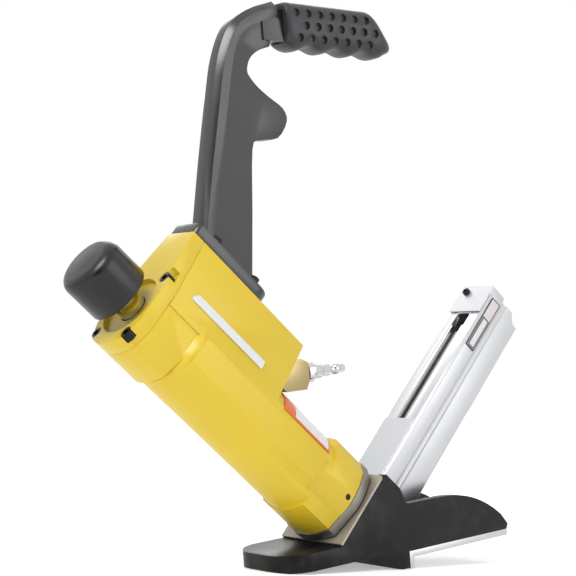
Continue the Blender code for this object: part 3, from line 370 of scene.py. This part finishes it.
# %% Paints and castings
finishes = {
    "yellow_paint": finish_of(
        "yellow enamel", (0.80, 0.575, 0.025), 0, 0.34, grain=(420, 0.00006), coat=0.1, vary=0.03),
    "black_casting": finish_of(
        "black powder coat", (0.009, 0.010, 0.012), 0, 0.24, grain=(1500, 0.00002), vary=0.15, shine=0.9),
    "grip_rubber": finish_of(
        "grip rubber", (0.030, 0.031, 0.034), 0, 0.36, grain=(1800, 0.00003), vary=0.1),
    "black_shoe": finish_of(
        "blackened casting", (0.006, 0.006, 0.007), 0.1, 0.36, grain=(700, 0.00009), wear=0.35,
        worn_colour=(0.20, 0.20, 0.21), vary=0.3, shine=0.25),
    "black_oxide": finish_of("black oxide steel", (0.02, 0.02, 0.022), 0.7, 0.38, vary=0.2),
    "black_rubber": finish_of(
        "black rubber", (0.007, 0.007, 0.008), 0, 0.26, grain=(1800, 0.00003), vary=0.15),
    "steel": finish_of("ground steel", (0.26, 0.245, 0.22), 0.8, 0.46, vary=0.12),
    "dull_steel": finish_of("worn steel", (0.42, 0.38, 0.32), 0.7, 0.5, grain=(500, 0.00008), vary=0.25),
    "chrome": finish_of("chrome plate", (0.62, 0.62, 0.63), 1, 0.12, grain=(300, 0.000005), vary=0.04),
    "brass": finish_of("brass", (0.42, 0.335, 0.16), 1, 0.30, vary=0.12),
    "red_fibre": finish_of("red fibre", (0.36, 0.05, 0.03), 0, 0.6, vary=0.2),
}
print("finishes so far:", len(finishes))

# %% [markdown]
# ## Drawn aluminium
# The magazine is satin aluminium with fine lines along the draw. They come from a noise whose coordinates
# are squeezed in one direction: the piece's own place is turned into the magazine's axes by three dot
# products, and the one along the magazine is made very small, so the noise stretches into lines.

# %% Aluminium and the last plain finishes
line_scale = 1400
squeeze = 0.012


def lined_metal(name, colour, roughness, along, across):
    """A metal whose fine lines run along one direction."""
    made = finish_of(name, colour, 1, roughness, vary=0.04)
    tree = made.node_tree
    shader = tree.nodes["Principled BSDF"]
    place = add(tree, "ShaderNodeTexCoord")
    squeezed = add(tree, "ShaderNodeCombineXYZ")
    for socket, direction in (("X", along * squeeze), ("Y", across), ("Z", along.cross(across))):
        dot = add(tree, "ShaderNodeVectorMath", operation="DOT_PRODUCT")
        dot.inputs[1].default_value = direction
        tree.links.new(place.outputs["Object"], dot.inputs[0])
        tree.links.new(dot.outputs["Value"], squeezed.inputs[socket])
    lines = add(tree, "ShaderNodeTexNoise")
    lines.inputs["Scale"].default_value = line_scale
    lines.inputs["Detail"].default_value = 2
    tree.links.new(squeezed.outputs["Vector"], lines.inputs["Vector"])
    bump = add(tree, "ShaderNodeBump")
    bump.inputs["Distance"].default_value = 0.00002
    tree.links.new(lines.outputs["Fac"], bump.inputs["Height"])
    tree.links.new(bump.outputs["Normal"], shader.inputs["Normal"])
    return made


finishes["aluminium"] = lined_metal("drawn aluminium", (0.60, 0.605, 0.62), 0.36, up_magazine, sideways)
finishes["white_plate"] = finish_of("white enamel plate", (0.84, 0.85, 0.86), 0, 0.35, vary=0.02)
finishes["label_film"] = finish_of("label film", (0.86, 0.86, 0.84), 0, 0.32, vary=0.02)
finishes["bright_steel"] = finish_of("bright steel", (0.86, 0.86, 0.85), 0.6, 0.4, vary=0.05)
print("finishes:", sorted(finishes))

# %% [markdown]
# ## Labels with blank print
# Print belongs to its maker, so the two labels carry only plain blocks of colour in a frame. A block is a
# range along two directions: the place on the tool, as a dot product with a direction, is compared with the
# block's middle and half length. Both are measured on the label's own mesh, so the blocks follow it when
# the CAD changes.

# %% Blank print for a label
def inside(tree, place, direction, middle, half):
    """1 where the place along this direction is within half of the middle, else 0."""
    along = add(tree, "ShaderNodeVectorMath", operation="DOT_PRODUCT")
    along.inputs[1].default_value = direction
    tree.links.new(place.outputs["Object"], along.inputs[0])
    near = add(tree, "ShaderNodeMath", operation="COMPARE")
    near.inputs[1].default_value = middle
    near.inputs[2].default_value = half
    tree.links.new(along.outputs["Value"], near.inputs[0])
    return near.outputs["Value"]


def printed(name, paper, ink, blocks, frame_area):
    """Film that shows ink all over except inside frame_area, then each block (colour, along, across)."""
    made = finish_of(name, paper, 0, 0.3, vary=0.0)
    tree = made.node_tree
    place = add(tree, "ShaderNodeTexCoord")
    colour = (*ink, 1)
    for tint, ranges in [(paper, frame_area)] + blocks:
        first, second = (inside(tree, place, *entry) for entry in ranges)
        both = add(tree, "ShaderNodeMath", operation="MULTIPLY")
        tree.links.new(first, both.inputs[0])
        tree.links.new(second, both.inputs[1])
        layer = add(tree, "ShaderNodeMix", data_type="RGBA")
        tree.links.new(both.outputs["Value"], layer.inputs["Factor"])
        if isinstance(colour, tuple):
            layer.inputs["A"].default_value = colour
        else:
            tree.links.new(colour, layer.inputs["A"])
        layer.inputs["B"].default_value = (*tint, 1)
        colour = layer.outputs["Result"]
    tree.links.new(colour, tree.nodes["Principled BSDF"].inputs["Base Color"])
    return made


def reach(obj, direction):
    """The middle and half length of a piece along a direction."""
    spots = [vertex.co.dot(direction) for vertex in obj.data.vertices]
    return (min(spots) + max(spots)) / 2, (max(spots) - min(spots)) / 2


middle, half = reach(nodes["label"], up_barrel)
middle_y, half_y = reach(nodes["label"], sideways)
orange = (0.84, 0.17, 0.04)
border = 0.0012
top_block = [(up_barrel, middle + half - 0.006, 0.0075), (sideways, middle_y, half_y)]
paper_area = [(up_barrel, middle, half - border), (sideways, middle_y, half_y - border)]
finishes["barrel_label"] = printed(
    "barrel label", (0.88, 0.88, 0.87), orange, [(orange, top_block)], paper_area)
middle, half = reach(nodes["magazine_label"], up_magazine)
middle_h, half_h = reach(nodes["magazine_label"], up_barrel)
border = 0.0009
window_middle = middle - 0.0092
dark_block = [(up_magazine, window_middle, 0.0150), (up_barrel, middle_h, half_h - 0.0011)]
pale_block = [(up_magazine, window_middle, 0.0135), (up_barrel, middle_h - 0.0002, 0.0027)]
paper_area = [(up_magazine, middle, half - border), (up_barrel, middle_h, half_h - border)]
finishes["side_label"] = printed(
    "side label", (0.80, 0.70, 0.71), (0.055, 0.058, 0.065),
    [((0.16, 0.165, 0.18), dark_block), ((0.82, 0.82, 0.82), pale_block)], paper_area)
print("label blocks ready")

# %% [markdown]
# ## Finishes for the CAD parts
# The record names a material slot for every CAD part, and the finish with that name goes on it. Four parts
# get a finish of their own instead.

# %% Every CAD part gets its finish
slot_of = {entry["node"]: entry["material_slot"] for entry in frame["record"]["subparts"]}
special = {"label": "barrel_label", "magazine_label": "side_label", "staple_track": "bright_steel",
           "rubber_grip": "grip_rubber"}
for name, obj in nodes.items():
    obj.data.materials.clear()
    obj.data.materials.append(finishes[special.get(name, slot_of[name])])
print("finished CAD parts:", len(slot_of))

# %% [markdown]
# ## Softening a machined or cast edge
# CAD edges are perfectly sharp, and nothing real is: a casting has a radius of a millimetre or two, and
# even a sawn plate has its burr knocked off. That small round edge is what catches the light. The way here
# is to copy the CAD part's mesh, merge its loose triangles, dissolve the flat ones into whole faces, select
# the sharp edges by their angle and bevel them. A Bevel modifier would do as well, but the operator shows
# at once what it made.

# %% Soften the edges of a copy
bodies = frame["record"]["behaviour"]["bodies"]
body_of = {name: body for body, members in bodies.items() for name in members}
merge_within = 0.00002


def soften(name, new_name, width, segments=2, sharper_than=32, smooth_under=35):
    """A copy of a CAD part with its sharp edges rounded to this width."""
    made = bpy.data.objects.new(new_name, nodes[name].data.copy())
    bpy.context.scene.collection.objects.link(made)
    pick(made)
    bpy.ops.object.mode_set(mode="EDIT")
    bpy.ops.mesh.select_all(action="SELECT")
    bpy.ops.mesh.remove_doubles(threshold=merge_within)
    bpy.ops.mesh.dissolve_limited(angle_limit=math.radians(0.6))
    bpy.ops.mesh.select_all(action="DESELECT")
    bpy.ops.mesh.select_mode(type="EDGE")
    bpy.ops.mesh.edges_select_sharp(sharpness=math.radians(sharper_than))
    bpy.ops.mesh.bevel(offset=width, segments=segments, affect="EDGES", clamp_overlap=True)
    bpy.ops.object.mode_set(mode="OBJECT")
    bpy.ops.object.shade_smooth_by_angle(angle=math.radians(smooth_under))
    return hand_over(made, name)


def hand_over(made, name):
    """The finished piece takes a CAD part's place, its finish and its body."""
    made.data.materials.clear()
    made.data.materials.append(finishes[special.get(name, slot_of[name])])
    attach(made, body_of[name])
    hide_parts(name)
    print(made.name, "faces:", len(made.data.polygons))
    return made


# %% [markdown]
# The castings get the widest edges, and the grip a fine one, so that its dimples stay crisp. The plates and
# extrusions get a hair of a bevel, just enough for a bright line.

# %% Castings and grip
soften("main_body", "barrel_casting", 0.0016, 3)
soften("head_cover", "head_casting", 0.0014, 3)
soften("shoe", "shoe_casting", 0.0009, 2)
soften("handle_arm", "handle_casting", 0.0009, 2)
soften("rubber_grip", "finger_grip", 0.0005, 2, 40, 50)

# %% Plates, extrusions and turned parts
soften("nose_plate", "steel_nose_plate", 0.0003, 1)
soften("nose_spacer", "grey_spacer", 0.0004, 2)
soften("sole_angle", "aluminium_sole", 0.0004, 2)
soften("magazine_channel", "magazine_extrusion", 0.0004, 2, 30, 30)
soften("magazine_cover", "magazine_front_cover", 0.0002, 1)
soften("magazine_cap", "magazine_top_cap", 0.0002, 1)
soften("brass_elbow", "brass_fitting", 0.0009, 3)
soften("sealing_washer", "red_washer", 0.0002, 1)
soften("air_plug", "quick_plug", 0.0003, 2)
soften("name_plate", "blank_name_plate", 0.0002, 1)

# %% [markdown]
# ## Picking faces in code
# In the viewport one would click on a face. In a script the face is found by what is true of it, here by
# the direction of its normal and by its place. The mesh is read in edit mode, the faces that answer are
# selected, and the operator that follows works on them alone.

# %% Select faces or edges by a question
def choose(obj, question, edges=False):
    """In edit mode, selects the faces or edges for which the question is true, and counts them."""
    bpy.ops.mesh.select_mode(type="EDGE" if edges else "FACE")
    bpy.ops.mesh.select_all(action="DESELECT")
    mesh = bmesh.from_edit_mesh(obj.data)
    found = 0
    for item in mesh.edges if edges else mesh.faces:
        if question(item):
            item.select_set(True)
            found += 1
    bmesh.update_edit_mesh(obj.data)
    return found


def rim_at(height, smallest):
    """The question for an edge of a rim: at this height and at least this far from the axis."""
    def on_rim(spot):
        return abs(spot.z - height) < 1e-5 and math.hypot(spot.x, spot.y) > smallest

    return lambda edge: all(on_rim(vertex.co) for vertex in edge.verts)


def settle(made, name, place, label):
    """Smooth the piece, put it where it belongs, with its own mesh, and hand it over."""
    bpy.ops.object.mode_set(mode="OBJECT")
    bpy.ops.object.shade_smooth_by_angle(angle=math.radians(30))
    made.name = label
    made.data.transform(place)
    return hand_over(made, name)


# %% [markdown]
# ## The strike cap
# The cap takes the mallet's blow. It is a thick rubber cup pressed over the end of the ram, with a well
# rounded shoulder and a slightly domed face. It starts as a cylinder. The shoulder is a bevel of the top
# rim in many segments, and the dome comes from two inset faces lifted a little. The underside is bored by
# an inset and an extrusion inwards, where the ram goes in. Sculpting would give the same shape with far
# more faces.

# %% Strike cap
cap_low, cap_tall, cap_radius, ram_radius = 0.3203, 0.0385, 0.0248, 0.0110
shoulder, lower_edge, bore_depth, bore_gap = 0.0080, 0.0010, 0.0240, 0.0003
dome_steps = ((0.0080, 0.0008), (0.0050, 0.0004))
straight_tall = cap_tall - sum(lift for _, lift in dome_steps)
half_tall = straight_tall / 2
deselect_all()
bpy.ops.mesh.primitive_cylinder_add(vertices=72, radius=cap_radius, depth=straight_tall, location=(0, 0, 0))
cap = bpy.context.object
bpy.ops.object.mode_set(mode="EDIT")
choose(cap, rim_at(half_tall, 0.02), edges=True)
bpy.ops.mesh.bevel(offset=shoulder, segments=8, affect="EDGES")
choose(cap, lambda face: face.normal.z > 0.99 and len(face.verts) > 8)
for inwards, lift in dome_steps:
    bpy.ops.mesh.inset(thickness=inwards)
    bpy.ops.transform.translate(value=(0, 0, lift))
choose(cap, rim_at(-half_tall, 0.02), edges=True)
bpy.ops.mesh.bevel(offset=lower_edge, segments=3, affect="EDGES")
choose(cap, lambda face: face.normal.z < -0.99 and len(face.verts) > 8)
bpy.ops.mesh.inset(thickness=cap_radius - lower_edge - ram_radius - bore_gap)
bpy.ops.mesh.extrude_region_move(TRANSFORM_OT_translate={"value": (0, 0, bore_depth)})
cap_place = drive_turn @ Matrix.Translation((0, 0, cap_low + half_tall))
settle(cap, "strike_cap", cap_place, "rubber_strike_cap")

# %% [markdown]
# ## Socket screws
# Nine black socket screws hold the head cover, the handle's foot and the magazine's cap. They come in three
# sizes. Each size is modelled once: a cylinder for the head, its underside inset and extruded into the shank,
# and a hexagon socket cut with a Boolean. The sharp edges get a fine bevel, since a rolled steel screw has no
# knife edges. Every screw is then a copy with its own mesh, set along its own axis.

# %% Model a socket screw
def model_screw(radius, tall, shank_radius, shank):
    """A socket screw whose head stands on the origin, with its shank below."""
    deselect_all()
    bpy.ops.mesh.primitive_cylinder_add(vertices=36, radius=radius, depth=tall, location=(0, 0, 0))
    made = bpy.context.object
    bpy.ops.object.mode_set(mode="EDIT")
    choose(made, lambda face: face.normal.z < -0.99)
    bpy.ops.mesh.inset(thickness=radius - shank_radius)
    bpy.ops.mesh.extrude_region_move(TRANSFORM_OT_translate={"value": (0, 0, -shank)})
    choose(made, rim_at(tall / 2, radius * 0.9), edges=True)
    bpy.ops.mesh.bevel(offset=radius * 0.09, segments=2, affect="EDGES")
    bpy.ops.object.mode_set(mode="OBJECT")
    made.data.transform(Matrix.Translation((0, 0, tall / 2)))
    deselect_all()
    key_at = (0, 0, tall * 0.95)
    bpy.ops.mesh.primitive_cylinder_add(vertices=6, radius=radius * 0.62, depth=tall, location=key_at)
    key = bpy.context.object
    pick(made)
    socket = made.modifiers.new("socket", "BOOLEAN")
    socket.operation = "DIFFERENCE"
    socket.object = key
    bpy.ops.object.modifier_apply(modifier="socket")
    bpy.data.objects.remove(key)
    bpy.ops.object.shade_smooth_by_angle(angle=math.radians(30))
    return made


def place_screw(pattern, name, label, place, along_magazine=False):
    """A copy of the screw with its own mesh, its head's underside at this place in the workshop drawing."""
    made = bpy.data.objects.new(label, pattern.data.copy())
    bpy.context.scene.collection.objects.link(made)
    turn = Matrix.Rotation(math.radians(90), 4, "Y") if along_magazine else Matrix.Identity(4)
    made.data.transform(drive_turn @ Matrix.Translation(place) @ turn)
    return hand_over(made, name)


# %% Head, handle and cap screws
head_places = [(m, y, 0.3016) for m in (-0.0255, 0.0265) for y in (-0.0205, 0.0205)]
head_pattern = model_screw(0.0044, 0.0066, 0.0018, 0.0170)
for number, place in enumerate(head_places, 1):
    place_screw(head_pattern, "head_screw_%d" % number, "head_socket_screw_%d" % number, place)
foot_places = [(0.0806, y, h) for h in (0.2863, 0.2413) for y in (-0.0128, 0.0128)]
foot_pattern = model_screw(0.0036, 0.0034, 0.0020, 0.0130)
for number, place in enumerate(foot_places, 1):
    place_screw(foot_pattern, "handle_screw_%d" % number, "foot_socket_screw_%d" % number, place, True)
small_pattern = model_screw(0.0032, 0.0022, 0.0018, 0.0120)
place_screw(small_pattern, "cap_screw", "cap_socket_screw", (0.2360, 0.0105, 0.0486))
for pattern in (head_pattern, foot_pattern, small_pattern):
    bpy.data.objects.remove(pattern)

# %% [markdown]
# ## The return spring
# The spring inside the head lifts the ram after each blow. When the cap goes down the coil is squeezed from
# its upper end. The copy has its doubles merged, is smoothed and goes on the CAD spring's body with its own
# mesh.

# %% Return spring
spring = bpy.data.objects.new("return_spring", nodes["ram_spring"].data.copy())
bpy.context.scene.collection.objects.link(spring)
pick(spring)
bpy.ops.object.mode_set(mode="EDIT")
bpy.ops.mesh.select_all(action="SELECT")
bpy.ops.mesh.remove_doubles(threshold=merge_within)
bpy.ops.object.mode_set(mode="OBJECT")
bpy.ops.object.shade_smooth_by_angle(angle=math.radians(60))
hand_over(spring, "ram_spring")
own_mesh(spring)
